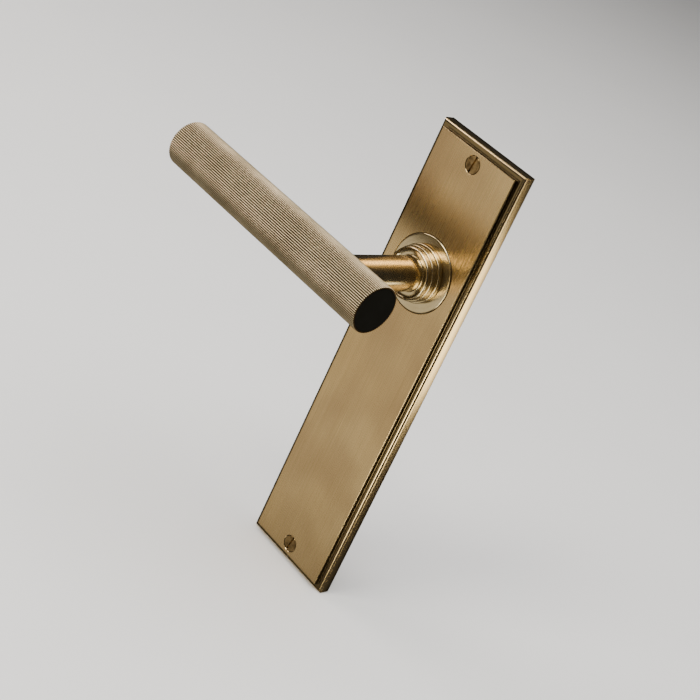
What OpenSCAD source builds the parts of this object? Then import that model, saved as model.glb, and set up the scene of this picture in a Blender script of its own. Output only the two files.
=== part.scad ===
// Lever handle on a stepped long backplate, sprung, for a mortice latch.
// Origin: spindle axis at the plate's back face. +X right, +Y into the door, +Z up.

/* [Backplate] */
// Height of the backplate
plate_h = 203; // [150:1:260]
// Width of the backplate
plate_w = 47.5; // [45:0.5:70]
// Thickness over the raised panel
plate_t = 7.4; // [7.2:0.1:12]
// Thickness of the lower tier round the panel
tier_t = 5.5; // [3:0.1:5.6]
// Width of the lower tier's border
border_w = 2.8; // [2.8:0.1:4]
// Radius of the fillet at the panel's foot
cove_r = 0.3; // [0.1:0.1:1.3]
// Rounding of the lower tier's front edge
edge_r = 1.4; // [0.2:0.1:1.5]
// Chamfer on the panel's edge
arris = 0.2; // [0.1:0.05:0.4]
// Distance from the plate's top down to the spindle
spindle_drop = 57.1; // [40:0.1:75]

/* [Fixing screws] */
// Distance from each end of the plate to its screw
screw_inset = 8.1; // [7:0.1:15]
// Diameter of the screw heads
screw_head_d = 7; // [6.4:0.1:8.4]
// Diameter of the screw shanks
screw_shank_d = 3.5; // [3:0.1:4.2]
// Length of the screws, head included
screw_len = 19; // [16:0.5:40]
// Length of the plain shank under the head
screw_plain = 12; // [10:0.5:14]
// Pitch of the screw thread
screw_pitch = 1.4; // [1:0.1:2]
// Turn of the screw slots from upright
slot_turn = -8; // [-45:1:45]

/* [Lever] */
// Distance from the door face to the grip's axis
projection = 56; // [48:0.5:75]
// Diameter of the grip over its reeds
grip_d = 20.2; // [19:0.1:26]
// Reach of the long end from the spindle axis
long_reach = 97.5; // [70:0.5:140]
// Reach of the short end from the spindle axis
short_reach = 25; // [18:0.5:40]
// Number of reeds round the grip
reeds = 72; // [36:2:96]
// Depth of the grooves between reeds
reed_depth = 0.4; // [0.2:0.05:0.5]
// Wall of the reeded sleeve
sleeve_wall = 1.6; // [1.4:0.1:2.2]
// Thickness of the end discs
cap_t = 2; // [1.5:0.1:3]
// Width of the rim left round the end discs
cap_rim = 0.3; // [0.2:0.05:1]
// Diameter of the neck
neck_d = 14.3; // [12:0.1:17.2]
// Depth that the neck's end is let into the grip core
neck_seat = 3; // [2:0.1:4]

/* [Collar] */
// Diameter of the fixed rose disc
rose_d = 31.8; // [30:0.1:36]
// Gap round the rose disc in the plate
rose_gap = 0.25; // [0.1:0.05:0.4]
// Depth that the rose disc is let into the plate
rose_sink = 1; // [0.8:0.1:1.4]
// Height that the rose disc stands proud
rose_proud = 0.3; // [0.1:0.05:0.6]
// Diameter of the collar's first ring
ring1_d = 23.8; // [23:0.1:27]
// Diameter of the collar's second ring
ring2_d = 22.4; // [21.4:0.1:23]
// Diameter of the collar's third ring
ring3_d = 21.2; // [20:0.1:21.3]
// Height of the first ring
ring1_h = 2.1; // [1.6:0.1:3]
// Height of the second ring
ring2_h = 2.9; // [2:0.1:4]
// Height of the third ring
ring3_h = 2.3; // [1.6:0.1:4]
// Rounding of the rings' edges
ring_edge = 0.3; // [0.1:0.05:0.45]
// Depth of the hollow between the collar's rim and the neck
hollow_depth = 1.1; // [0.4:0.1:1.4]

/* [Spindle and bearing] */
// Width across the square spindle
spindle_w = 8; // [7:0.5:8]
// Length of spindle behind the plate
spindle_out = 24; // [15:1:60]
// Depth of the spindle socket in the lever, from the door face
spindle_in = 34; // [28:0.5:38]
// Diameter of the spigot that turns in the bush
spigot_d = 16; // [13.4:0.1:19.2]
// Wall of the bearing bush
bush_wall = 1.4; // [1:0.1:1.6]
// Diameter of the grub screw
grub_d = 5; // [4:0.5:6]
// Distance from the door face to the grub screw
grub_at = 24; // [19:0.5:27]
// Diameter of the stud between neck and grip
stud_d = 6; // [5:0.5:8]

/* [Spring box] */
// Diameter of the recess in the plate's back
recess_d = 38; // [36:0.5:40]
// Wall left in front of the recess
recess_wall = 2.5; // [2.4:0.1:4]
// Thickness of the cover sheet
cover_t = 1; // [0.8:0.1:1.2]
// Distance between the cover's two screws
cover_screw_pitch = 50; // [48:0.5:56]
// Turn of the lever from rest to its stop, in degrees
lever_turn = 50; // [30:1:50]
// Outer diameter of the return springs
spring_d = 3.2; // [2.4:0.1:3.4]
// Wire diameter of the return springs
wire_d = 0.7; // [0.5:0.05:0.9]
// Turns in each return spring
spring_turns = 11; // [8:1:13]

/* [Hidden] */
$fn = 64;

eps = 0.01;                 // overlap of cutting solids
part_gap = 0.05;            // clearance between pieces that are fitted together
run_gap = 0.05;             // radial clearance of the turning spigot
free_gap = 0.2;             // gap between faces that pass each other
stop_gap = 0.3;             // gap left at the lever's stops
head_play = 0.4;            // play of the screw heads in their countersinks
hole_play = 0.4;            // spare depth of blind holes
arc_steps = 6;              // straight steps in a rounded profile

plate_top = spindle_drop;
plate_bottom = spindle_drop - plate_h;
plate_mid = (plate_top + plate_bottom) / 2;
screw_ys = [plate_top - screw_inset, plate_bottom + screw_inset];

// Depths are measured forward from the door face.
recess_floor = plate_t - recess_wall;
rose_back = plate_t - rose_sink;
rose_front = plate_t + rose_proud;
rose_edge = 0.4;
collar_foot = rose_front + free_gap;
collar_top = collar_foot + ring1_h + ring2_h + ring3_h;
washer_t = 0.5;
washer_sink = washer_t + 2 * part_gap - free_gap;
spigot_r = spigot_d / 2;
spigot_end = 0.4;
bush_bore = spigot_r + run_gap;
bush_r = bush_bore + bush_wall;
flange_t = 0.8;
flange_r = bush_r + 1.6;
washer_r = ring1_d / 2 - 1.2;
foot_r = 0.3;

// Spring box stack, from the cover forward
clip_t = 1;
clip_back = cover_t + free_gap;
clip_front = clip_back + clip_t;
groove_r = spigot_r - 0.5;
clip_r = spigot_r + 2;
shim_t = 0.3;
hub_back = clip_front + shim_t + 2 * part_gap;
hub_front = recess_floor - flange_t - 2 * part_gap;
hub_r = spigot_r + 2.6;
flat_w = spigot_d - 2.6;
arm_r = recess_d / 2 - 1;
spring_mid_r = recess_d / 2 - 4.2;
spring_z = (cover_t + recess_floor) / 2;

// Angles round the spindle, counter-clockwise from +X as seen from the front
arm_half = 5;
tab_half = 8;
upper_arm_at = -20;
lower_arm_at = 100;
stop_tab_at = 243;
pin_d = 3;
pin_half = asin(pin_d / 2 / spring_mid_r);
stop_half = asin(stop_gap / spring_mid_r);
stop_pins_at = [
    stop_tab_at - tab_half - stop_half - pin_half,
    stop_tab_at + lever_turn + tab_half + stop_half + pin_half
];
pin_seat = 1.2;
post_d = 3.6;
post_foot = cover_t + free_gap;
post_half = asin(post_d / 2 / spring_mid_r);
spring_span = 86;
spring_lead = arm_half + 2;
upper_post_at = upper_arm_at + spring_lead + spring_span + post_half + 1;
lower_post_at = lower_arm_at + spring_lead + spring_span + post_half + 1;

cover_rim = 1.4;
cover_r = recess_d / 2 + cover_rim;
cover_tab_w = 12;
cover_screw_d = 3;
cover_head_d = cover_screw_d + 2 * cover_t;
cover_screw_len = 4.6;
cross_w = 0.6;
cross_l = 3.2;
cross_deep = 0.7;

// Grip
grip_r = grip_d / 2;
sleeve_bore = grip_r - sleeve_wall;
core_r = sleeve_bore - part_gap;
cap_r = grip_r - reed_depth - cap_rim;
cap_spigot_r = 2.5;
cap_spigot_l = 6;
neck_r = neck_d / 2;
neck_end = projection - core_r + neck_seat;
stud_r = stud_d / 2;
stud_grip = 7.5;
stud_back = neck_end - stud_grip;
stud_front = neck_end + stud_grip;
socket_w = spindle_w + 2 * part_gap;

// Turns a shape drawn as (across, up, forward) onto the door's face.
module facing() {
    rotate([90, 0, 0]) children();
}

function arc(centre, r, from, to) = [
    for (i = [0:arc_steps])
        let (a = from + (to - from) * i / arc_steps)
        centre + r * [cos(a), sin(a)]
];

// Ring sector, as an outline round the spindle axis
function sector(inner, outer, from, to) = concat(
    arc([0, 0], outer, from, to), arc([0, 0], inner, to, from)
);

// Half section of the two tiers, out to half a width
function tier_half(half) = let (foot = half - border_w) concat(
    [[half, 0]],
    arc([half - edge_r, tier_t - edge_r], edge_r, 0, 90),
    arc([foot + cove_r, tier_t + cove_r], cove_r, 270, 180),
    [[foot, plate_t - arris], [foot - arris, plate_t]]
);

function mirrored(points) = [
    for (i = [len(points) - 1:-1:0]) [-points[i][0], points[i][1]]
];

module tier_section(size) {
    half = tier_half(size / 2);
    polygon(concat(half, mirrored(half)));
}

// Two tiers with a small cove between them, mitred at the corners
module tiered_block() {
    intersection() {
        translate([0, plate_top, 0])
            rotate([90, 0, 0])
                linear_extrude(plate_h) tier_section(plate_w);
        translate([-plate_w / 2, plate_mid, 0])
            rotate([90, 0, 90])
                linear_extrude(plate_w) tier_section(plate_h);
    }
}

// Cutter for a countersunk screw whose head is flush with a face at z = 0
module countersink(head_d, shank_d, depth) {
    sink = (head_d - shank_d) / 2;
    translate([0, 0, -depth]) cylinder(d = shank_d + 2 * part_gap, h = depth + eps);
    translate([0, 0, -sink]) cylinder(d1 = shank_d, d2 = head_d, h = sink);
    translate([0, 0, -eps]) cylinder(d = head_d, h = 1);
}

module cover_outline(grow) {
    circle(r = cover_r + grow);
    square([cover_tab_w + 2 * grow, cover_screw_pitch + cover_tab_w + 2 * grow], center = true);
}

module spring_post_places() {
    for (a = [upper_post_at, lower_post_at])
        rotate(a) translate([spring_mid_r, 0, 0]) children();
}

module stop_pin_places() {
    for (a = stop_pins_at)
        rotate(a) translate([spring_mid_r, 0, 0]) children();
}

module cover_screw_places() {
    for (s = [-1, 1])
        translate([0, s * cover_screw_pitch / 2, 0]) children();
}

module backplate() {
    color("burlywood") facing() difference() {
        tiered_block();
        for (y = screw_ys)
            translate([0, y, plate_t])
                countersink(screw_head_d + head_play, screw_shank_d, plate_t + eps);
        translate([0, 0, rose_back]) cylinder(r = rose_d / 2 + rose_gap, h = plate_t);
        translate([0, 0, -eps]) cylinder(r = bush_r + part_gap, h = plate_t);
        translate([0, 0, -eps]) cylinder(d = recess_d, h = recess_floor + eps);
        translate([0, 0, -eps]) linear_extrude(cover_t + eps) cover_outline(part_gap * 2);
        cover_screw_places()
            translate([0, 0, -eps])
                cylinder(d = cover_screw_d + 2 * part_gap, h = cover_screw_len + hole_play);
        spring_post_places()
            translate([0, 0, recess_floor - eps]) cylinder(d = pin_d, h = pin_seat + eps);
        stop_pin_places()
            translate([0, 0, recess_floor - eps]) cylinder(d = pin_d, h = pin_seat + eps);
    }
}

module rose_disc() {
    color("tan") facing() rotate_extrude() polygon(concat(
        [[bush_r + part_gap, rose_back], [rose_d / 2, rose_back]],
        arc([rose_d / 2 - rose_edge, rose_front - rose_edge], rose_edge, 0, 90),
        [[bush_r + part_gap, rose_front]]
    ));
}

module bearing_bush() {
    color("ivory") facing() rotate_extrude() polygon([
        [bush_bore, recess_floor - flange_t], [flange_r, recess_floor - flange_t],
        [flange_r, recess_floor], [bush_r, recess_floor],
        [bush_r, rose_front - part_gap], [bush_bore, rose_front - part_gap]
    ]);
}

// Bearing washer let into the collar's foot
module front_washer() {
    color("ivory") facing() translate([0, 0, rose_front + part_gap]) difference() {
        cylinder(r = washer_r - part_gap, h = washer_t);
        translate([0, 0, -eps]) cylinder(r = bush_bore, h = washer_t + 2 * eps);
    }
}

// One ring of the collar: up its side, round its edge and in to the next
function ring_side(r, foot, top, next_r) = concat(
    [[r, foot]], arc([r - ring_edge, top - ring_edge], ring_edge, 0, 90), [[next_r, top]]
);

// Hollow that falls from the top ring's rim, then a small round up to the neck
function hollow(rim_r) = let (floor_r = neck_r + foot_r, fall_end = collar_top - hollow_depth) concat(
    [
        for (i = [1:2 * arc_steps - 1])
            let (a = 90 * i / (2 * arc_steps))
            [floor_r + (rim_r - floor_r) * cos(a), collar_top - hollow_depth * sin(a)]
    ],
    arc([floor_r, fall_end + foot_r], foot_r, 270, 180)
);

module neck() {
    rim_edge = 2 * ring_edge;
    rim_r = ring3_d / 2 - rim_edge;
    foot2 = collar_foot + ring1_h;
    foot3 = foot2 + ring2_h;
    color("goldenrod") facing() difference() {
        rotate_extrude() polygon(concat(
            [
                [0, spigot_end], [spigot_r, spigot_end], [spigot_r, clip_back - part_gap],
                [groove_r, clip_back - part_gap], [groove_r, clip_front + part_gap],
                [spigot_r, clip_front + part_gap], [spigot_r, collar_foot + washer_sink],
                [washer_r, collar_foot + washer_sink], [washer_r, collar_foot]
            ],
            ring_side(ring1_d / 2, collar_foot, foot2, ring2_d / 2),
            ring_side(ring2_d / 2, foot2, foot3, ring3_d / 2),
            [[ring3_d / 2, foot3]],
            arc([rim_r, collar_top - rim_edge], rim_edge, 0, 90),
            hollow(rim_r),
            [[neck_r, neck_end], [0, neck_end]]
        ));
        translate([0, 0, spindle_in / 2])
            cube([socket_w, socket_w, spindle_in + eps], center = true);
        for (s = [-1, 1])
            translate([s * (flat_w + spigot_d) / 2, 0, 0])
                cube([spigot_d, 2 * spigot_d, 2 * (hub_front + part_gap)], center = true);
        translate([0, 0, stud_back - part_gap]) cylinder(r = stud_r + part_gap, h = stud_grip + 1);
        translate([0, 0, grub_at]) rotate([90, 0, 0]) cylinder(d = grub_d + 2 * part_gap, h = neck_d);
    }
}

module neck_stud() {
    color("silver") facing() translate([0, 0, stud_back])
        cylinder(r = stud_r, h = stud_front - stud_back);
}

module along_grip() {
    translate([0, 0, projection]) rotate([0, 90, 0]) children();
}

module grip_core() {
    color("darkgoldenrod") facing() difference() {
        along_grip()
            translate([0, 0, cap_t - long_reach])
                cylinder(r = core_r, h = long_reach + short_reach - 2 * cap_t);
        translate([0, 0, projection - grip_r])
            cylinder(r = neck_r + part_gap, h = neck_end - projection + grip_r);
        translate([0, 0, neck_end - eps]) cylinder(r = stud_r + part_gap, h = stud_grip + hole_play);
        along_grip() {
            translate([0, 0, -long_reach])
                cylinder(r = cap_spigot_r + part_gap, h = cap_t + cap_spigot_l + hole_play);
            translate([0, 0, short_reach - cap_t - cap_spigot_l - hole_play])
                cylinder(r = cap_spigot_r + part_gap, h = cap_t + cap_spigot_l + 1);
        }
    }
}

// Outline of the reeded sleeve: a groove, then a flat-topped reed
module reeded_outline() {
    polygon([
        for (i = [0:reeds - 1], p = [[0, reed_depth], [0.32, 0], [0.68, 0]])
            let (a = (i + p[0]) * 360 / reeds)
            (grip_r - p[1]) * [cos(a), sin(a)]
    ]);
}

module grip_sleeve() {
    total = long_reach + short_reach;
    color("peru") facing() difference() {
        along_grip() translate([0, 0, -long_reach]) difference() {
            linear_extrude(total) difference() {
                reeded_outline();
                circle(r = sleeve_bore);
            }
            translate([0, 0, -eps]) cylinder(r = cap_r + part_gap, h = cap_t + eps);
            translate([0, 0, total - cap_t]) cylinder(r = cap_r + part_gap, h = cap_t + eps);
        }
        translate([0, 0, projection - grip_r - 1]) cylinder(r = neck_r + part_gap, h = grip_r);
    }
}

// End disc, drawn with its outer face at z = 0
module end_disc() {
    bevel = 0.2;
    rotate_extrude() polygon([
        [0, 0], [cap_r - bevel, 0], [cap_r, -bevel], [cap_r, part_gap - cap_t],
        [cap_spigot_r, part_gap - cap_t], [cap_spigot_r, -cap_t - cap_spigot_l],
        [0, -cap_t - cap_spigot_l]
    ]);
}

module long_end_disc() {
    color("dimgray") facing() along_grip()
        translate([0, 0, -long_reach]) mirror([0, 0, 1]) end_disc();
}

module short_end_disc() {
    color("dimgray") facing() along_grip() translate([0, 0, short_reach]) end_disc();
}

module spindle() {
    chamfer = 0.8;
    color("silver") facing() translate([0, 0, -spindle_out]) intersection() {
        translate([0, 0, (spindle_out + spindle_in) / 2])
            cube([spindle_w, spindle_w, spindle_out + spindle_in - 1], center = true);
        rotate(45) cylinder(
            d1 = (spindle_w - 2 * chamfer) * sqrt(2),
            d2 = (spindle_w - 2 * chamfer) * sqrt(2) + 2 * (spindle_out + spindle_in),
            h = spindle_out + spindle_in, $fn = 4
        );
    }
}

module grub_screw() {
    hex_w = 2.5;
    grub_l = neck_r - socket_w / 2 - 0.3;
    color("dimgray") facing() translate([0, -spindle_w / 2 - part_gap, grub_at])
        rotate([90, 0, 0]) difference() {
            cylinder(d = grub_d, h = grub_l);
            translate([0, 0, grub_l / 3]) cylinder(d = hex_w / cos(30), h = grub_l, $fn = 6);
        }
}

// Cam that the springs turn back: two spring arms and a stop tab on a hub
module cam_hub() {
    color("gray") facing() translate([0, 0, hub_back])
        linear_extrude(hub_front - hub_back) difference() {
            union() {
                circle(r = hub_r);
                for (a = [upper_arm_at, lower_arm_at])
                    polygon(sector(hub_r - 1, arm_r, a - arm_half, a + arm_half));
                polygon(sector(hub_r - 1, arm_r, stop_tab_at - tab_half, stop_tab_at + tab_half));
            }
            intersection() {
                circle(r = spigot_r + part_gap);
                square([flat_w + 2 * part_gap, spigot_d * 2], center = true);
            }
        }
}

module shim_washer() {
    color("silver") facing() translate([0, 0, clip_front + part_gap])
        linear_extrude(shim_t) difference() {
            circle(r = hub_r - 0.4);
            circle(r = spigot_r + 2 * part_gap);
        }
}

module circlip() {
    gap_half = 14;
    ear_at = gap_half + 11;
    ear_r = 1.6;
    ear_hole_r = 0.7;
    color("dimgray") facing() translate([0, 0, clip_back]) linear_extrude(clip_t) difference() {
        union() {
            circle(r = clip_r);
            for (s = [-1, 1])
                rotate(s * ear_at) translate([clip_r - 0.3, 0]) circle(r = ear_r, $fn = 24);
        }
        circle(r = groove_r + part_gap);
        polygon(sector(1, 2 * clip_r, -gap_half, gap_half));
        for (s = [-1, 1])
            rotate(s * ear_at) translate([clip_r - 0.2, 0]) circle(r = ear_hole_r, $fn = 24);
    }
}

// Coil spring bent round the spindle axis, as rings of points joined into a tube
module arc_spring(from) {
    sides = 6;
    per_turn = 10;
    rings = spring_turns * per_turn;
    coil_r = (spring_d - wire_d) / 2;
    points = [
        for (i = [0:rings], j = [0:sides - 1])
            let (
                round_axis = from + spring_span * i / rings,
                coil = 360 * i / per_turn,
                wire = 360 * j / sides,
                r = coil_r + wire_d / 2 * cos(wire),
                slip = wire_d / 2 * sin(wire) / spring_mid_r * 180 / PI,
                out = spring_mid_r + r * cos(coil)
            )
            [
                out * cos(round_axis + slip), out * sin(round_axis + slip),
                spring_z + r * sin(coil)
            ]
    ];
    walls = [
        for (i = [0:rings - 1], j = [0:sides - 1], half = [0, 1])
            let (k = (j + 1) % sides, near = i * sides, far = (i + 1) * sides)
            half == 0 ? [near + j, far + j, far + k] : [near + j, far + k, near + k]
    ];
    ends = [
        [for (j = [0:sides - 1]) j],
        [for (j = [sides - 1:-1:0]) rings * sides + j]
    ];
    polyhedron(points = points, faces = concat(walls, ends));
}

module upper_return_spring() {
    color("lightsteelblue") facing() arc_spring(upper_arm_at + spring_lead);
}

module lower_return_spring() {
    color("lightsteelblue") facing() arc_spring(lower_arm_at + spring_lead);
}

module spring_posts() {
    color("silver") facing() spring_post_places() {
        translate([0, 0, post_foot]) cylinder(d = post_d, h = recess_floor - post_foot);
        translate([0, 0, recess_floor - eps])
            cylinder(d = pin_d - 2 * eps, h = pin_seat + eps - part_gap);
    }
}

module stop_pins() {
    color("silver") facing() stop_pin_places()
        translate([0, 0, post_foot])
            cylinder(d = pin_d - 2 * eps, h = recess_floor + pin_seat - part_gap - post_foot);
}

module spring_cover() {
    hole_r = spigot_r + 0.6;
    color("lightgray") facing() difference() {
        linear_extrude(cover_t - part_gap) difference() {
            cover_outline(0);
            circle(r = hole_r);
        }
        cover_screw_places()
            translate([0, 0, -eps]) cylinder(
                d1 = cover_head_d + 0.2 + 2 * eps, d2 = cover_head_d + 0.2 - 2 * cover_t,
                h = cover_t + 2 * eps
            );
    }
}

module cover_screws() {
    sink = (cover_head_d - cover_screw_d) / 2;
    color("dimgray") facing() cover_screw_places() difference() {
        union() {
            cylinder(d1 = cover_head_d, d2 = cover_screw_d, h = sink);
            cylinder(d = cover_screw_d, h = cover_screw_len);
        }
        translate([0, 0, -eps]) linear_extrude(cross_deep) for (a = [0, 90])
            rotate(a) square([cross_l, cross_w], center = true);
    }
}

// Wood screw with its head's face at z = 0 and its point downwards
module wood_screw() {
    sink = (screw_head_d - screw_shank_d) / 2;
    root_r = screw_shank_d / 2 * 0.68;
    crest_r = screw_shank_d / 2 - part_gap;
    nip = 0.1;
    tip = 3;
    slot_w = 0.9;
    slot_deep = 1;
    threads = floor((screw_len - screw_plain - tip) / screw_pitch);
    thread_end = -screw_plain - threads * screw_pitch;
    difference() {
        rotate_extrude() polygon(concat(
            [
                [0, 0], [screw_head_d / 2 - nip, 0], [screw_head_d / 2, -nip],
                [screw_shank_d / 2, -sink - nip], [screw_shank_d / 2, -screw_plain]
            ],
            [
                for (i = [0:threads - 1], p = [[0.15, 0], [0.5, 1], [0.6, 1], [1, 0]])
                    [root_r + p[1] * (crest_r - root_r), -screw_plain - (i + p[0]) * screw_pitch]
            ],
            [[root_r, thread_end - 0.3], [0, -screw_len]]
        ));
        rotate(slot_turn) cube([slot_w, screw_head_d + 1, 2 * slot_deep], center = true);
    }
}

module top_fixing_screw() {
    color("darkkhaki") facing() translate([0, screw_ys[0], plate_t - 0.05]) wood_screw();
}

module bottom_fixing_screw() {
    color("darkkhaki") facing() translate([0, screw_ys[1], plate_t - 0.05]) wood_screw();
}

backplate();
rose_disc();
bearing_bush();
front_washer();
neck();
neck_stud();
grip_core();
grip_sleeve();
long_end_disc();
short_end_disc();
spindle();
grub_screw();
cam_hub();
shim_washer();
circlip();
upper_return_spring();
lower_return_spring();
spring_posts();
stop_pins();
spring_cover();
cover_screws();
top_fixing_screw();
bottom_fixing_screw();
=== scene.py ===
import bpy
import bmesh
from math import atan2, cos, hypot, pi, radians, sin
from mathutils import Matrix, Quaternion, Vector


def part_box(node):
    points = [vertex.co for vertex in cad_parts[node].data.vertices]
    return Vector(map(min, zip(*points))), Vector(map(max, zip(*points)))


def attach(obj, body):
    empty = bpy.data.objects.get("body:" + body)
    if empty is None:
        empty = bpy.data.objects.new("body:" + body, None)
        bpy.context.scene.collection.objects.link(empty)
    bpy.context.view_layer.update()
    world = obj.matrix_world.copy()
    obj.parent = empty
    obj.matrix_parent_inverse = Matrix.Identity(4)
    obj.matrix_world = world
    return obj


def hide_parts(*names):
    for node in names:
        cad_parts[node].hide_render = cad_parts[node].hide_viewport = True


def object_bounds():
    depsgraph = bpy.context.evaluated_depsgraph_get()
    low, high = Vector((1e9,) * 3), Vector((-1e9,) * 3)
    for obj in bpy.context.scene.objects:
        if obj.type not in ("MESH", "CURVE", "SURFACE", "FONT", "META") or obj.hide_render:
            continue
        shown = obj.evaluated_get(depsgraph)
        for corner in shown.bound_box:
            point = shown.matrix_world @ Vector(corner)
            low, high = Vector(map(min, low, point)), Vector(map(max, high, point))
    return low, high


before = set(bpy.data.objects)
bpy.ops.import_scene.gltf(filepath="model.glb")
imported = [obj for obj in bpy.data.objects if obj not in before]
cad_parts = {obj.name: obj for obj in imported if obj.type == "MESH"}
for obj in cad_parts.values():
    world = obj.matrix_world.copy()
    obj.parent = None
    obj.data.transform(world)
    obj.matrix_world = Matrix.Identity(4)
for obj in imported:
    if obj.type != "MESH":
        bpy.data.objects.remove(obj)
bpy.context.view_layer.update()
print("frame loaded:", len(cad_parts), "parts")

mm = 0.001


def deselectEverything():
    if bpy.context.mode != "OBJECT":
        bpy.ops.object.mode_set(mode="OBJECT")
    bpy.ops.object.select_all(action="DESELECT")


def startPiece(name):
    piece = bpy.context.active_object
    piece.name = name
    piece.data.name = name
    return piece


def useOnly(piece):
    deselectEverything()
    piece.select_set(True)
    bpy.context.view_layer.objects.active = piece


def edit(piece, what="FACE"):
    useOnly(piece)
    bpy.ops.object.mode_set(mode="EDIT")
    bpy.ops.mesh.select_mode(type=what)
    bpy.ops.mesh.select_all(action="DESELECT")


def pick(piece, what, test):
    # selects the faces, edges or vertices that pass a test of their place
    mesh = bmesh.from_edit_mesh(piece.data)
    for part in getattr(mesh, what):
        if test(part):
            part.select_set(True)
    bmesh.update_edit_mesh(piece.data)


def closeUp(piece, merge=0.002 * mm):
    edit(piece, "VERT")
    bpy.ops.mesh.select_all(action="SELECT")
    bpy.ops.mesh.remove_doubles(threshold=merge)
    bpy.ops.mesh.normals_make_consistent(inside=False)
    deselectEverything()


def settle(piece):
    # the piece's place goes into its mesh
    useOnly(piece)
    bpy.ops.object.transform_apply(location=True, rotation=True, scale=True)
    deselectEverything()


def smooth(piece, angle=32):
    useOnly(piece)
    bpy.ops.object.shade_smooth_by_angle(angle=radians(angle))
    modifier = piece.modifiers.new("flatFacesFlat", "WEIGHTED_NORMAL")
    modifier.keep_sharp = True
    bpy.ops.object.modifier_apply(modifier=modifier.name)
    deselectEverything()


def cutWith(piece, cutter, how="DIFFERENCE"):
    useOnly(piece)
    modifier = piece.modifiers.new("cut", "BOOLEAN")
    modifier.operation = how
    modifier.solver = "EXACT"
    modifier.object = cutter
    bpy.ops.object.modifier_apply(modifier=modifier.name)
    bpy.data.objects.remove(cutter, do_unlink=True)


def turned(name, profile, sides=128, ring=False):
    # profile: (radius, distance forward of the door), turned about the spindle axis
    radius, forward = profile[0]
    fill = "NOTHING" if ring else "NGON"
    deselectEverything()
    bpy.ops.mesh.primitive_circle_add(
        vertices=sides, radius=radius, fill_type=fill,
        location=(0, -forward, 0), rotation=(pi / 2, 0, 0))
    piece = startPiece(name)
    settle(piece)
    edit(piece, "EDGE" if ring else "FACE")
    bpy.ops.mesh.select_all(action="SELECT")
    for nextRadius, nextForward in profile[1:] + (profile[:1] if ring else []):
        bpy.ops.mesh.extrude_region_move(
            TRANSFORM_OT_translate={"value": (0, forward - nextForward, 0)})
        grow = nextRadius / radius
        bpy.ops.transform.resize(value=(grow, 1, grow), center_override=(0, -nextForward, 0))
        radius, forward = nextRadius, nextForward
    closeUp(piece)
    return piece


def bend(centre, radius, fromAngle, toAngle, steps=5):
    # points on an arc of a profile
    return [(centre[0] + radius * cos(radians(fromAngle + (toAngle - fromAngle) * i / steps)),
             centre[1] + radius * sin(radians(fromAngle + (toAngle - fromAngle) * i / steps)))
            for i in range(steps + 1)]


def finishPiece(piece, body, replaced, material):
    piece.data.materials.clear()
    piece.data.materials.append(material)
    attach(piece, body)
    if replaced:
        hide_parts(*replaced)


def newFinish(name, baseColour, metallic, roughness):
    material = bpy.data.materials.new(name)
    material.use_nodes = True
    shader = material.node_tree.nodes["Principled BSDF"]
    shader.inputs["Base Color"].default_value = (*baseColour, 1)
    shader.inputs["Metallic"].default_value = metallic
    shader.inputs["Roughness"].default_value = roughness
    return material, material.node_tree, shader


def addNode(tree, kind, **inputs):
    node = tree.nodes.new(kind)
    for name, value in inputs.items():
        node.inputs[name].default_value = value
    return node


def grain(tree, scale, detail=3, roughness=0.6, stretch=(1, 1, 1), seed=0):
    # noise on the piece's own coordinates, stretched along its brushing
    coordinates = addNode(tree, "ShaderNodeTexCoord")
    mapping = addNode(tree, "ShaderNodeMapping")
    mapping.inputs["Scale"].default_value = stretch
    noise = tree.nodes.new("ShaderNodeTexNoise")
    noise.noise_dimensions = "4D"
    noise.inputs["W"].default_value = seed
    noise.inputs["Scale"].default_value = scale
    noise.inputs["Detail"].default_value = detail
    noise.inputs["Roughness"].default_value = roughness
    tree.links.new(coordinates.outputs["Object"], mapping.inputs["Vector"])
    tree.links.new(mapping.outputs["Vector"], noise.inputs["Vector"])
    return noise.outputs["Fac"]


def remap(tree, value, fromLow, fromHigh, toLow, toHigh):
    node = tree.nodes.new("ShaderNodeMapRange")
    node.inputs["From Min"].default_value = fromLow
    node.inputs["From Max"].default_value = fromHigh
    node.inputs["To Min"].default_value = toLow
    node.inputs["To Max"].default_value = toHigh
    tree.links.new(value, node.inputs["Value"])
    return node.outputs["Result"]


def calc(tree, how, first, second):
    node = tree.nodes.new("ShaderNodeMath")
    node.operation = how
    for slotAt, value in ((0, first), (1, second)):
        if isinstance(value, (int, float)):
            node.inputs[slotAt].default_value = value
        else:
            tree.links.new(value, node.inputs[slotAt])
    return node.outputs[0]


def tint(tree, amount, first, second):
    # mixes two colours; each is a colour or the output of another mix
    node = tree.nodes.new("ShaderNodeMix")
    node.data_type = "RGBA"
    tree.links.new(amount, node.inputs["Factor"])
    for name, value in (("A", first), ("B", second)):
        socket = next(s for s in node.inputs if s.name == name and s.type == "RGBA")
        if isinstance(value, tuple):
            socket.default_value = (*value, 1)
        else:
            tree.links.new(value, socket)
    return next(s for s in node.outputs if s.type == "RGBA")


def emboss(tree, shader, height, distance, strength):
    node = tree.nodes.new("ShaderNodeBump")
    node.inputs["Strength"].default_value = strength
    node.inputs["Distance"].default_value = distance
    tree.links.new(height, node.inputs["Height"])
    tree.links.new(node.outputs["Normal"], shader.inputs["Normal"])


brass = {
    "bright": (0.74, 0.54, 0.26),
    "body": (0.57, 0.385, 0.168),
    "reed": (0.72, 0.585, 0.37),
    "turned": (0.53, 0.415, 0.215),
    "shade": (0.37, 0.235, 0.085),
    "stain": (0.35, 0.225, 0.11),
    "paintedShadeOlive": (0.085, 0.062, 0.028),
    "patina": (0.045, 0.025, 0.010),
}


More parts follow.
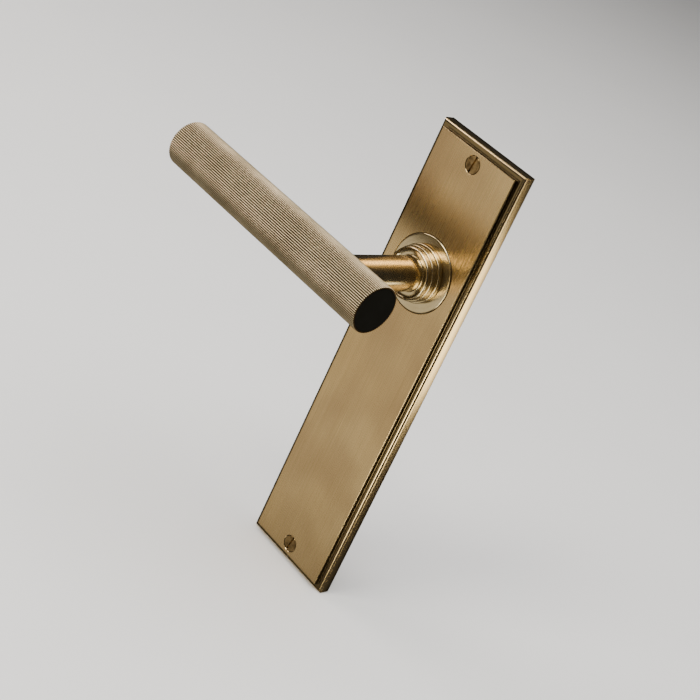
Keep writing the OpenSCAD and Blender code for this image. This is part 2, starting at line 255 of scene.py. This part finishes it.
def axisDistance(tree, centre, flatAxis):
    # distance from a line through centre that runs along flatAxis
    coordinates = addNode(tree, "ShaderNodeTexCoord")
    mapping = addNode(tree, "ShaderNodeMapping")
    mapping.inputs["Location"].default_value = tuple(-c for c in centre)
    squash = [1, 1, 1]
    squash[flatAxis] = 0
    mapping.inputs["Scale"].default_value = squash
    length = tree.nodes.new("ShaderNodeVectorMath")
    length.operation = "LENGTH"
    tree.links.new(coordinates.outputs["Object"], mapping.inputs["Vector"])
    tree.links.new(mapping.outputs["Vector"], length.inputs[0])
    return length.outputs["Value"]


def along(tree, axis):
    coordinates = addNode(tree, "ShaderNodeTexCoord")
    split = tree.nodes.new("ShaderNodeSeparateXYZ")
    tree.links.new(coordinates.outputs["Object"], split.inputs[0])
    return split.outputs[axis]


plateFinish = {
    "panelRough": 0.25, "borderRough": 0.16, "lineWide": 0.16 * mm, "lineLong": 30 * mm,
    "brushDepth": 0.009 * mm, "wearAndSheenEdge": 0.22 * mm, "gapShadeWide": 0.35 * mm,
    "footShadeDeep": 0.22 * mm, "rearDeep": 3 * mm,
}


def brushedBrass(panelFront, borderFront, screwPlaces, screwR):
    # the panel is brushed up and down; the tier round it is polished, painted dark along the foot
    # of the step as patina and painted shade, and given a painted highlight on its rounded edge
    p = plateFinish
    material, tree, shader = newFinish("brushedAntiqueBrass", brass["body"], 1, p["panelRough"])
    fine = grain(tree, 1, detail=4, stretch=(1 / p["lineWide"], 160, 1 / p["lineLong"]))
    broad = grain(tree, 1, detail=3, stretch=(700, 100, 5), seed=3)
    cloud = grain(tree, 14, detail=3, seed=7)
    specks = grain(tree, 900, detail=3, seed=12)
    forward = calc(tree, "MULTIPLY", along(tree, "Y"), -1)
    onPanel = remap(tree, forward, panelFront - 0.08 * mm, panelFront - 0.01 * mm, 0, 1)
    # lighter along the panel's front edge: rubbed wear and a painted highlight on the arris
    onWearAndSheenEdge = remap(tree, forward, panelFront - p["wearAndSheenEdge"], panelFront - 0.02 * mm, 0, 0.7)
    colour = tint(tree, remap(tree, cloud, 0.35, 0.65, 0, 0.5), brass["body"], brass["bright"])
    colour = tint(tree, remap(tree, broad, 0.4, 0.75, 0, 0.14), colour, brass["shade"])
    stain = grain(tree, 22, detail=2, seed=21)
    colour = tint(tree, remap(tree, stain, 0.46, 0.66, 0, 0.6), colour, brass["stain"])
    colour = tint(tree, remap(tree, fine, 0.5, 0.8, 0, 0.26), colour, brass["shade"])
    colour = tint(tree, remap(tree, specks, 0.68, 0.78, 0, 0.2), colour, brass["patina"])
    # painted shade with patina: the tier's flat, its cove and the step's wall go dark olive
    foot = remap(tree, forward, borderFront - p["footShadeDeep"], borderFront - 0.02 * mm, 0, 0.86)
    # painted highlight: the tier gets the lighter brass, which stays on its rounded edge
    border = tint(tree, remap(tree, cloud, 0.3, 0.7, 0, 0.35), brass["bright"], brass["body"])
    border = tint(tree, foot, border, brass["paintedShadeOlive"])
    # the side walls grow darker towards the back edge
    rear = remap(tree, forward, 0, p["rearDeep"], 0.92, 0)
    rear = calc(tree, "MULTIPLY", rear, remap(tree, forward, 0.02 * mm, 0.1 * mm, 0, 1))
    border = tint(tree, rear, border, brass["patina"])
    # the panel's front edge gets the lighter brass: wear and painted highlight
    border = tint(tree, onWearAndSheenEdge, border, brass["bright"])
    colour = tint(tree, onPanel, border, colour)
    for place in screwPlaces:
        # painted shade darkens the gap round a screw's head
        gapShade = remap(tree, axisDistance(tree, place, 1), screwR, screwR + p["gapShadeWide"], 1, 0)
        colour = tint(tree, gapShade, colour, brass["patina"])
    tree.links.new(colour, shader.inputs["Base Color"])
    brushed = remap(tree, fine, 0.2, 0.8, p["panelRough"] - 0.04, p["panelRough"] + 0.08)
    polished = remap(tree, cloud, 0.2, 0.8, p["borderRough"] - 0.03, p["borderRough"] + 0.05)
    gap = calc(tree, "SUBTRACT", brushed, polished)
    rough = calc(tree, "ADD", polished, calc(tree, "MULTIPLY", gap, onPanel))
    tree.links.new(rough, shader.inputs["Roughness"])
    bump = addNode(tree, "ShaderNodeBump", Distance=p["brushDepth"])
    tree.links.new(fine, bump.inputs["Height"])
    tree.links.new(onPanel, bump.inputs["Strength"])
    tree.links.new(bump.outputs["Normal"], shader.inputs["Normal"])
    return material


def turnedBrass():
    material, tree, shader = newFinish("turnedAntiqueBrass", brass["body"], 1, 0.16)
    join = tree.nodes.new("ShaderNodeCombineXYZ")
    tree.links.new(axisDistance(tree, (0, 0, 0), 1), join.inputs["X"])
    tree.links.new(along(tree, "Y"), join.inputs["Y"])
    noise = addNode(tree, "ShaderNodeTexNoise", Scale=1500, Detail=2)
    tree.links.new(join.outputs[0], noise.inputs["Vector"])
    rings = noise.outputs["Fac"]
    cloud = grain(tree, 70, detail=3, seed=2)
    colour = tint(tree, remap(tree, cloud, 0.3, 0.7, 0, 0.5), brass["turned"], brass["reed"])
    colour = tint(tree, remap(tree, rings, 0.5, 0.8, 0, 0.15), colour, brass["shade"])
    tree.links.new(colour, shader.inputs["Base Color"])
    tree.links.new(remap(tree, rings, 0.2, 0.8, 0.19, 0.27), shader.inputs["Roughness"])
    return material


def reededBrass(gripAxis, crest, depth):
    # worn bright on the reeds' tops, dark in the grooves
    material, tree, shader = newFinish("reededAntiqueBrass", brass["body"], 1, 0.25)
    radius = axisDistance(tree, (0, gripAxis, 0), 0)
    cloud = grain(tree, 40, detail=3, seed=5)
    wear = calc(tree, "MULTIPLY", remap(tree, cloud, 0.3, 0.7, -0.12, 0.12), depth)
    level = calc(tree, "ADD", radius, wear)
    groove = remap(tree, level, crest - depth * 0.55, crest - depth * 0.1, 1, 0)
    fine = grain(tree, 1, detail=2, stretch=(40, 900, 900), seed=1)
    colour = tint(tree, remap(tree, cloud, 0.3, 0.7, 0.6, 1), brass["turned"], brass["reed"])
    colour = tint(tree, remap(tree, fine, 0.5, 0.8, 0, 0.15), colour, brass["shade"])
    colour = tint(tree, groove, colour, brass["patina"])
    tree.links.new(colour, shader.inputs["Base Color"])
    tree.links.new(remap(tree, groove, 0, 1, 0.36, 0.6), shader.inputs["Roughness"])
    return material


def blackDisc():
    material, tree, shader = newFinish("blackenedDisc", (0.004, 0.004, 0.003), 0, 0.4)
    shader.inputs["Specular IOR Level"].default_value = 0.04
    cloud = grain(tree, 120, detail=4, seed=4)
    colour = tint(tree, cloud, (0.003, 0.003, 0.002), (0.007, 0.006, 0.004))
    tree.links.new(colour, shader.inputs["Base Color"])
    tree.links.new(remap(tree, cloud, 0.3, 0.7, 0.5, 0.65), shader.inputs["Roughness"])
    emboss(tree, shader, cloud, 0.01 * mm, 0.15)
    return material


def agedScrewBrass():
    material, tree, shader = newFinish("agedScrewBrass", brass["shade"], 1, 0.3)
    cloud = grain(tree, 450, detail=4, seed=6)
    colour = tint(tree, remap(tree, cloud, 0.35, 0.65, 0.2, 0.75), brass["body"], brass["shade"])
    colour = tint(tree, remap(tree, cloud, 0.45, 0.7, 0.5, 0.9), colour, brass["patina"])
    tree.links.new(colour, shader.inputs["Base Color"])
    tree.links.new(remap(tree, cloud, 0.3, 0.7, 0.22, 0.42), shader.inputs["Roughness"])
    emboss(tree, shader, cloud, 0.02 * mm, 0.3)
    return material


def steelFinish(name, light, dark, roughness, scale=300):
    material, tree, shader = newFinish(name, light, 1, roughness)
    cloud = grain(tree, scale, detail=4, seed=8)
    colour = tint(tree, remap(tree, cloud, 0.3, 0.7, 0, 1), light, dark)
    tree.links.new(colour, shader.inputs["Base Color"])
    tree.links.new(remap(tree, cloud, 0.3, 0.7, roughness - 0.06, roughness + 0.08),
                   shader.inputs["Roughness"])
    emboss(tree, shader, cloud, 0.01 * mm, 0.2)
    return material


def nylonFinish():
    material, tree, shader = newFinish("naturalNylon", (0.72, 0.69, 0.58), 0, 0.45)
    cloud = grain(tree, 700, detail=3, seed=9)
    colour = tint(tree, remap(tree, cloud, 0.3, 0.7, 0, 1), (0.74, 0.71, 0.6), (0.64, 0.6, 0.5))
    tree.links.new(colour, shader.inputs["Base Color"])
    emboss(tree, shader, cloud, 0.01 * mm, 0.2)
    return material


def floorFinish():
    material, tree, shader = newFinish("paleFloor", (0.8, 0.79, 0.77), 0, 0.8)
    cloud = grain(tree, 6, detail=3, seed=11)
    colour = tint(tree, remap(tree, cloud, 0.2, 0.8, 0, 1), (0.82, 0.81, 0.79), (0.79, 0.78, 0.76))
    tree.links.new(colour, shader.inputs["Base Color"])
    return material


viewPoint = {
    "azimuth": 37.79, "elevation": 24.56, "roll": 25.26,    # degrees
    "distance": 0.6572, "lens": 82.7, "lookAt": (-0.0129, -0.0106, -0.0455),
}


def makeCamera():
    v = viewPoint
    a, e = radians(v["azimuth"]), radians(v["elevation"])
    back = Vector((sin(a) * cos(e), -cos(a) * cos(e), sin(e)))
    bpy.ops.object.camera_add(location=Vector(v["lookAt"]) + back * v["distance"])
    camera = bpy.context.active_object
    camera.name = "camera"
    camera.data.lens = v["lens"]
    camera.data.clip_start = 0.05
    camera.rotation_mode = "QUATERNION"
    turn = Quaternion((0, 0, 1), radians(v["roll"]))
    camera.rotation_quaternion = (-back).to_track_quat("-Z", "Y") @ turn
    bpy.context.scene.camera = camera


room = {
    "floorSize": 14, "floorDrop": 0.2 * mm, "worldColour": (0.03, 0.03, 0.031),
    "lightDistance": 1.5, "aim": (0, -0.02, -0.04),
    # name: azimuth, elevation, width, height, power, colour
    "lights": {
        "keyLight": (-13, 50, 0.5, 0.5, 14, (1, 0.97, 0.9)),
        "panelLight": (-35, -19, 0.8, 0.9, 2.1, (1, 0.96, 0.88)),
        "lowLight": (12, -27, 0.75, 0.45, 9.5, (1, 0.97, 0.86)),
        "gripLight": (-65, 36, 0.7, 0.7, 9, (1, 0.92, 0.9)),
        "edgeLight": (145, -20.5, 0.5, 0.22, 1.5, (1, 0.93, 0.74)),
        "sideLight": (112, -22, 0.6, 0.4, 4, (1, 0.95, 0.82)),
        "rimLight": (70, -52, 0.5, 0.5, 4, (1, 0.98, 0.94)),
        "floorLight": (60, 86, 1.6, 1.6, 42, (1, 1, 1)),
    },
}


def makeRoom():
    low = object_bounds()[0]
    bpy.ops.mesh.primitive_plane_add(
        size=room["floorSize"], location=(0, 0, low.z - room["floorDrop"]))
    floor = startPiece("floor")
    floor.data.materials.append(floorFinish())
    # the metal mirrors the dark studio and its lights, and not the floor
    floor.visible_glossy = False
    floor.visible_shadow = False
    aim = Vector(room["aim"])
    for name, (azimuth, elevation, wide, tall, power, colour) in room["lights"].items():
        a, e = radians(azimuth), radians(elevation)
        out = Vector((sin(a) * cos(e), -cos(a) * cos(e), sin(e)))
        bpy.ops.object.light_add(type="AREA", location=aim + out * room["lightDistance"])
        lamp = bpy.context.active_object
        lamp.name = name
        lamp.data.shape = "RECTANGLE"
        lamp.data.size, lamp.data.size_y = wide, tall
        lamp.data.energy = power
        lamp.data.color = colour
        lamp.visible_camera = False
        lamp.rotation_euler = (-out).to_track_quat("-Z", "Y").to_euler()
    world = bpy.data.worlds.new("studio")
    world.use_nodes = True
    world.node_tree.nodes["Background"].inputs["Color"].default_value = (*room["worldColour"], 1)
    bpy.context.scene.world = world
    deselectEverything()


makeCamera()
makeRoom()
print("camera, floor and lights are set")


plateSizes = {
    "tier": 5.5 * mm, "border": 2.8 * mm, "edgeRound": 1.4 * mm, "cove": 0.3 * mm,
    "arris": 0.36 * mm, "cornerRound": 0.25 * mm, "backEdge": 0.2 * mm, "roundSteps": 8,
}


def insetSteps(steps):
    for inward, forward in steps:
        bpy.ops.mesh.inset(thickness=inward, depth=forward, use_even_offset=True)


def roundOut(radius, steps):
    # a convex quarter round, as small steps in and forward
    turns = [radians(90 * i / steps) for i in range(steps + 1)]
    return [(radius * (cos(a) - cos(b)), radius * (sin(b) - sin(a)))
            for a, b in zip(turns, turns[1:])]


def roundIn(radius, steps):
    # a concave quarter round
    turns = [radians(90 * i / steps) for i in range(steps + 1)]
    return [(radius * (sin(b) - sin(a)), radius * (cos(a) - cos(b)))
            for a, b in zip(turns, turns[1:])]


def makePlate():
    p = plateSizes
    low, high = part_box("backplate")
    panelFront = -low.y
    deselectEverything()
    block = p["tier"] - p["edgeRound"]
    bpy.ops.mesh.primitive_cube_add(
        size=1, location=((low.x + high.x) / 2, -block / 2, (low.z + high.z) / 2))
    plate = startPiece("steppedPlate")
    plate.scale = (high.x - low.x, block, high.z - low.z)
    settle(plate)
    edit(plate)
    pick(plate, "faces", lambda f: f.normal.y < -0.9)
    insetSteps(roundOut(p["edgeRound"], p["roundSteps"]))
    land = p["border"] - p["cove"] - p["edgeRound"]
    insetSteps([(land * 0.5, 0), (land * 0.5, 0)] + roundIn(p["cove"], p["roundSteps"]))
    wall = panelFront - p["tier"] - p["cove"] - p["arris"]
    bpy.ops.mesh.extrude_region_move(TRANSFORM_OT_translate={"value": (0, -wall, 0)})
    insetSteps(roundOut(p["arris"], 4) + [(0.4 * mm, 0)])
    # soften the upright corners and the back edge
    bpy.ops.mesh.select_mode(type="EDGE")
    bpy.ops.mesh.select_all(action="DESELECT")
    halfWide, midTall = (high.x - low.x) / 2, (high.z + low.z) / 2
    halfTall = (high.z - low.z) / 2

    def isCorner(edge):
        return all(abs(abs(v.co.x) - halfWide) < 1e-6
                   and abs(abs(v.co.z - midTall) - halfTall) < 1e-6
                   for v in edge.verts)

    pick(plate, "edges", isCorner)
    bpy.ops.mesh.bevel(offset=p["cornerRound"], segments=3, affect="EDGES")
    bpy.ops.mesh.select_all(action="DESELECT")
    pick(plate, "edges", lambda e: all(abs(v.co.y) < 1e-7 for v in e.verts))
    bpy.ops.mesh.bevel(offset=p["backEdge"], segments=2, affect="EDGES")
    closeUp(plate)
    return plate, panelFront


plate, panelFront = makePlate()
print("plate block made,", len(plate.data.polygons), "faces")

holeSizes = {
    "roseGap": 0.25 * mm, "roseSink": 1.0 * mm, "screwPlay": 0.2 * mm, "rim": 0.12 * mm,
    "coverPlay": 0.1 * mm, "coverRim": 1.4 * mm, "earWide": 12 * mm,
    "flangeThick": 0.8 * mm, "flangeWide": 1.55 * mm,
}


def cutPlateHoles(plate, panelFront):
    h = holeSizes
    roseLow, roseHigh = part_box("rose_disc")
    bushLow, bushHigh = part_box("bearing_bush")
    coverLow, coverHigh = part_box("spring_cover")
    roseR = (roseHigh.x - roseLow.x) / 2 + h["roseGap"]
    bushR = (bushHigh.x - bushLow.x) / 2 - h["flangeWide"]
    coverR = (coverHigh.x - coverLow.x) / 2
    recessR = coverR - h["coverRim"]
    sinkAt = panelFront - h["roseSink"]
    rim = h["rim"]
    front = turned("cutFront", [
        (bushR, 2 * mm), (bushR, sinkAt), (roseR, sinkAt),
        (roseR, panelFront - rim), (roseR + rim, panelFront), (roseR + rim, panelFront + mm)])
    cutWith(plate, front)
    recessFloor = -bushHigh.y + h["flangeThick"]
    cutWith(plate, turned("cutBack", [(recessR, -mm), (recessR, recessFloor)]))
    coverDeep = -coverLow.y + h["coverPlay"] / 2
    coverSeat = coverR + h["coverPlay"]
    cutWith(plate, turned("cutCover", [(coverSeat, -mm), (coverSeat, coverDeep)]))
    deselectEverything()
    bpy.ops.mesh.primitive_cube_add(size=1, location=(0, 0, 0))
    ears = startPiece("cutEars")
    ears.scale = (h["earWide"] + 2 * h["coverPlay"], 2 * coverDeep,
                  coverHigh.z - coverLow.z + 2 * h["coverPlay"])
    settle(ears)
    cutWith(plate, ears)
    for node in ("top_fixing_screw", "bottom_fixing_screw"):
        low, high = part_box(node)
        headR = (high.x - low.x) / 2 + h["screwPlay"]
        shankR = headR / 2
        sink = turned("cutSink", [
            (shankR, -mm), (shankR, panelFront - (headR - shankR) - rim),
            (headR, panelFront - rim), (headR + rim, panelFront),
            (headR + rim, panelFront + mm)], sides=64)
        sink.location = (0, 0, (low.z + high.z) / 2)
        settle(sink)
        cutWith(plate, sink)
    closeUp(plate)


cutPlateHoles(plate, panelFront)
smooth(plate, 30)
screwBoxes = [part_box(node) for node in ("top_fixing_screw", "bottom_fixing_screw")]
screwPlaces = [(0, 0, (low.z + high.z) / 2) for low, high in screwBoxes]
screwHeadR = (screwBoxes[0][1].x - screwBoxes[0][0].x) / 2
finishPiece(plate, "plate", ["backplate"],
            brushedBrass(panelFront, plateSizes["tier"], screwPlaces, screwHeadR))
print("plate holes cut,", len(plate.data.polygons), "faces")


roseSizes = {"edge": 0.4 * mm, "boreWall": 1.5 * mm}


def makeRose():
    low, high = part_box("rose_disc")
    bushLow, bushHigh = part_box("bearing_bush")
    outer, back, front = (high.x - low.x) / 2, -high.y, -low.y
    inner = (bushHigh.x - bushLow.x) / 2 - roseSizes["boreWall"]
    edge = roseSizes["edge"]
    return turned("roseDisc", [(inner, back), (outer, back)]
                  + bend((outer - edge, front - edge), edge, 0, 90, 6)
                  + [(outer - 2 * edge, front), (inner, front)], sides=192, ring=True)


neckSizes = {
    "ringR": (11.9 * mm, 11.2 * mm, 10.6 * mm), "ringH": (2.1 * mm, 2.9 * mm, 2.3 * mm),
    "ringEdge": 0.3 * mm, "topEdge": 0.6 * mm, "groove": 0.14 * mm, "lift": 0.2 * mm,
    "hollowDeep": 1.1 * mm, "footRound": 0.3 * mm,
    "spigotR": 8 * mm, "spigotEnd": 0.4 * mm, "spigotEdge": 0.3 * mm,
    "shaftR": 7.15 * mm, "sides": 192,
}


def ringProfile(ringR, foot, top, edge, nextR, groove):
    # up a ring's side and round its edge, then in to a fine groove at the next ring's foot
    side = [(ringR, foot)] + bend((ringR - edge, top - edge), edge, 0, 90, 6)
    return side + [(nextR - groove, top), (nextR - groove, top + groove)] if nextR else side


def makeNeck():
    n = neckSizes
    foot = -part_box("rose_disc")[0].y + n["lift"]
    end = -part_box("neck")[0].y
    spigot, nip = n["spigotR"], n["spigotEdge"]
    profile = [(spigot - nip, n["spigotEnd"]), (spigot, n["spigotEnd"] + nip),
               (spigot, foot), (n["ringR"][0] - n["lift"], foot)]
    at = foot
    for ringR, ringH, nextR in zip(n["ringR"], n["ringH"], n["ringR"][1:] + (None,)):
        edge = n["ringEdge"] if nextR else n["topEdge"]
        profile += ringProfile(ringR, at + n["lift"], at + ringH, edge, nextR, n["groove"])
        at += ringH
    rim = n["ringR"][2] - n["topEdge"]
    hollowR = n["shaftR"] + n["footRound"]
    for i in range(1, 16):
        turn = radians(6 * i)
        profile.append((hollowR + (rim - hollowR) * cos(turn), at - n["hollowDeep"] * sin(turn)))
    foot = at - n["hollowDeep"] + n["footRound"]
    profile += bend((hollowR, foot), n["footRound"], 270, 180, 5)[1:]
    profile += [(n["shaftR"], foot + mm), (n["shaftR"], end)]
    return turned("neckAndCollar", profile, sides=n["sides"])


rose = makeRose()
neck = makeNeck()
satinBrass = turnedBrass()
smooth(rose)
smooth(neck, 40)
finishPiece(rose, "plate", ["rose_disc"], satinBrass)
finishPiece(neck, "lever", ["neck"], satinBrass)
print("rose disc and neck turned")


gripSizes = {
    "reeds": 72, "perReed": 8, "depth": 0.4 * mm, "endRound": 0.35 * mm, "endSteps": 5,
    "bore": 8.5 * mm, "discDeep": 2 * mm, "discPlay": 0.05 * mm,
    # share of the full depth at each step away from a groove's bottom
    "fall": (1.0, 0.8, 0.36, 0.06, 0.0),
}


def growGrip(along, scale, at):
    # the open edge is run along the grip and drawn in or out round its axis
    bpy.ops.mesh.extrude_region_move(TRANSFORM_OT_translate={"value": (along, 0, 0)})
    bpy.ops.transform.resize(value=(1, scale, scale), center_override=at)


def drawReeds(grip, axisY, radius):
    # each step's vertices are pulled in towards the axis
    g = gripSizes
    count = g["reeds"] * g["perReed"]
    for step, share in enumerate(g["fall"]):
        edit(grip, "VERT")

        def atStep(v, step=step):
            place = round(atan2(v.co.z, v.co.y - axisY) / (2 * pi) * count) % g["perReed"]
            return min(place, g["perReed"] - place) == step

        pick(grip, "verts", atStep)
        pull = (radius - g["depth"] * share) / radius
        bpy.ops.transform.resize(value=(1, pull, pull), center_override=(0, axisY, 0))


def makeGrip():
    g = gripSizes
    low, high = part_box("grip_sleeve")
    radius, axisY = (high.z - low.z) / 2, (high.y + low.y) / 2
    deselectEverything()
    bpy.ops.mesh.primitive_circle_add(
        vertices=g["reeds"] * g["perReed"], radius=radius, fill_type="NOTHING",
        location=(low.x, axisY, 0), rotation=(pi / 2, 0, pi / 2))
    grip = startPiece("reededGrip")
    settle(grip)
    drawReeds(grip, axisY, radius)
    edit(grip, "EDGE")
    bpy.ops.mesh.select_all(action="SELECT")
    # the outline runs along the grip, with a rounded edge at each end
    edge = g["endRound"]
    inner = radius - g["depth"] - edge
    bpy.ops.transform.resize(value=(1, inner / (inner + edge), inner / (inner + edge)),
                             center_override=(low.x, axisY, 0))
    turns = [radians(90 * i / g["endSteps"]) for i in range(g["endSteps"] + 1)]
    stations = [(low.x + edge * (1 - cos(a)), inner + edge * sin(a)) for a in turns]
    stations += [(high.x - edge * (1 - cos(a)), inner + edge * sin(a)) for a in reversed(turns)]
    for (x, size), (nextX, nextSize) in zip(stations, stations[1:]):
        growGrip(nextX - x, nextSize / size, (nextX, axisY, 0))
    deselectEverything()
    return grip, [(low.x, 1), (high.x, -1)], axisY, radius


def closeGripEnds(grip, ends, axisY):
    # each end gets a flat rim, a seat for the disc and the bore behind it
    g = gripSizes
    discLow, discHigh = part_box("long_end_disc")
    discR = (discHigh.z - discLow.z) / 2 + g["discPlay"]
    for x, inward in ends:
        edit(grip, "EDGE")
        pick(grip, "edges", lambda e: all(abs(v.co.x - x) < 1e-6 for v in e.verts))
        bpy.ops.mesh.extrude_region_move(TRANSFORM_OT_translate={"value": (0, 0, 0)})
        # the wavy edge is drawn to a true circle inside the rim
        mesh = bmesh.from_edit_mesh(grip.data)
        for v in mesh.verts:
            if v.select:
                out = Vector((0, v.co.y - axisY, v.co.z)).normalized() * discR
                v.co = Vector((x, axisY + out.y, out.z))
        bmesh.update_edit_mesh(grip.data)
        seat = x + inward * g["discDeep"]
        growGrip(inward * g["discDeep"], 1, (seat, axisY, 0))
        growGrip(0, g["bore"] / discR, (seat, axisY, 0))
    edit(grip, "EDGE")
    seats = [x + inward * g["discDeep"] for x, inward in ends]
    pick(grip, "edges", lambda e: any(
        all(abs(v.co.x - seat) < 1e-6 and hypot(v.co.y - axisY, v.co.z) < g["bore"] + 0.01 * mm
            for v in e.verts) for seat in seats))
    bpy.ops.mesh.bridge_edge_loops()
    closeUp(grip)


grip, gripEnds, gripAxisY, gripRadius = makeGrip()
closeGripEnds(grip, gripEnds, gripAxisY)
smooth(grip, 50)
finishPiece(grip, "lever", ["grip_sleeve"],
            reededBrass(gripAxisY, gripRadius, gripSizes["depth"]))
print("grip reeded,", len(grip.data.polygons), "faces")


discSizes = {"edge": 0.25 * mm, "thick": 1.95 * mm, "spigotR": 2.5 * mm, "flat": 1.2 * mm}


def makeEndDisc(name, node, facing):
    d = discSizes
    low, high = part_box(node)
    radius, edge = (high.z - low.z) / 2, d["edge"]
    disc = turned(name, [(d["spigotR"], low.x - high.x), (d["spigotR"], -d["thick"]),
                         (radius, -d["thick"]), (radius, -edge)]
                  + bend((radius - edge, -edge), edge, 15, 90, 5)
                  + [(radius - d["flat"], 0), (radius / 2, 0)], sides=128)
    disc.rotation_euler = (0, 0, facing * pi / 2)
    disc.location = (high.x if facing > 0 else low.x, (low.y + high.y) / 2, (low.z + high.z) / 2)
    settle(disc)
    smooth(disc)
    return disc


discFinish = blackDisc()
for name, node, facing in (("shortEndDisc", "short_end_disc", 1),
                           ("longEndDisc", "long_end_disc", -1)):
    disc = makeEndDisc(name, node, facing)
    finishPiece(disc, "lever", [node], discFinish)
print("end discs made")


screwSizes = {
    "plain": 12 * mm, "slotWide": 0.85 * mm, "slotDeep": 0.9 * mm, "slotTurn": 8, "nip": 0.1 * mm,
    "pitch": 1.4 * mm, "turns": 3.5, "crest": 1.7 * mm, "root": 1.15 * mm, "tipR": 0.05 * mm,
    "threadSteps": 24,
}


def makeThread(start):
    # a three-sided ridge wound round the shank, closed at both ends
    s = screwSizes
    height = s["crest"] - s["root"]
    deselectEverything()
    bpy.ops.mesh.primitive_circle_add(
        vertices=3, radius=height, fill_type="NOTHING",
        location=(s["root"] + height / 2 - 0.05 * mm, -start, 0), rotation=(0, 0, -pi / 2))
    thread = startPiece("thread")
    thread.scale = (0.55, 1, 1)
    settle(thread)
    useOnly(thread)
    wind = thread.modifiers.new("wind", "SCREW")
    wind.axis = "Y"
    wind.angle = 2 * pi * s["turns"]
    wind.screw_offset = s["pitch"] * s["turns"]
    wind.steps = wind.render_steps = int(s["threadSteps"] * s["turns"])
    bpy.ops.object.modifier_apply(modifier=wind.name)
    edit(thread, "EDGE")
    bpy.ops.mesh.select_all(action="SELECT")
    bpy.ops.mesh.fill_holes(sides=0)
    closeUp(thread)
    return thread


def makeWoodScrew(name, node):
    s = screwSizes
    low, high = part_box(node)
    headR, front, point = (high.x - low.x) / 2, -low.y, -high.y
    shankR = headR / 2
    threadStart = front - s["plain"]
    threadEnd = threadStart - s["turns"] * s["pitch"]
    screw = turned(name, [
        (s["tipR"], point), (s["root"], threadEnd), (s["root"], threadStart - 0.3 * mm),
        (shankR, threadStart), (shankR, front - (headR - shankR) - s["nip"]),
        (headR, front - s["nip"]), (headR - s["nip"], front),
        (headR - 5 * s["nip"], front)], sides=64)
    cutWith(screw, makeThread(threadStart - 0.2 * mm), "UNION")
    screw.location.z = (low.z + high.z) / 2
    settle(screw)
    deselectEverything()
    bpy.ops.mesh.primitive_cube_add(size=1, location=(0, -front, (low.z + high.z) / 2))
    slotCutter = startPiece("slotCutter")
    slotCutter.scale = (s["slotWide"], 2 * s["slotDeep"], 2.4 * headR)
    slotCutter.rotation_euler = (0, radians(s["slotTurn"]), 0)
    settle(slotCutter)
    cutWith(screw, slotCutter)
    closeUp(screw)
    return screw


screwFinish = agedScrewBrass()
for name, node in (("topWoodScrew", "top_fixing_screw"),
                   ("bottomWoodScrew", "bottom_fixing_screw")):
    screw = makeWoodScrew(name, node)
    smooth(screw)
    finishPiece(screw, "plate", [node], screwFinish)
print("wood screws made")


zinc = steelFinish("zincPlatedSteel", (0.56, 0.57, 0.58), (0.46, 0.47, 0.49), 0.32)
darkSteel = steelFinish("blackOxideSteel", (0.05, 0.05, 0.052), (0.03, 0.03, 0.032), 0.4, 600)
springSteel = steelFinish("drawnSpringSteel", (0.42, 0.43, 0.46), (0.3, 0.31, 0.34), 0.28, 900)
camSteel = steelFinish("sinteredSteel", (0.3, 0.3, 0.31), (0.22, 0.22, 0.23), 0.5, 1500)
rawBrass = steelFinish("turnedRawBrass", (0.72, 0.52, 0.2), (0.62, 0.43, 0.16), 0.3, 400)
nylon = nylonFinish()

keptParts = {
    "bearing_bush": nylon, "front_washer": nylon, "neck_stud": zinc, "grip_core": rawBrass,
    "spindle": zinc, "grub_screw": darkSteel, "cam_hub": camSteel, "shim_washer": zinc,
    "circlip": darkSteel, "upper_return_spring": springSteel, "lower_return_spring": springSteel,
    "spring_posts": zinc, "stop_pins": zinc, "spring_cover": zinc, "cover_screws": darkSteel,
}
for node, material in keptParts.items():
    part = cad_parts[node]
    part.data.materials.clear()
    part.data.materials.append(material)
print("finishes given to the parts inside")
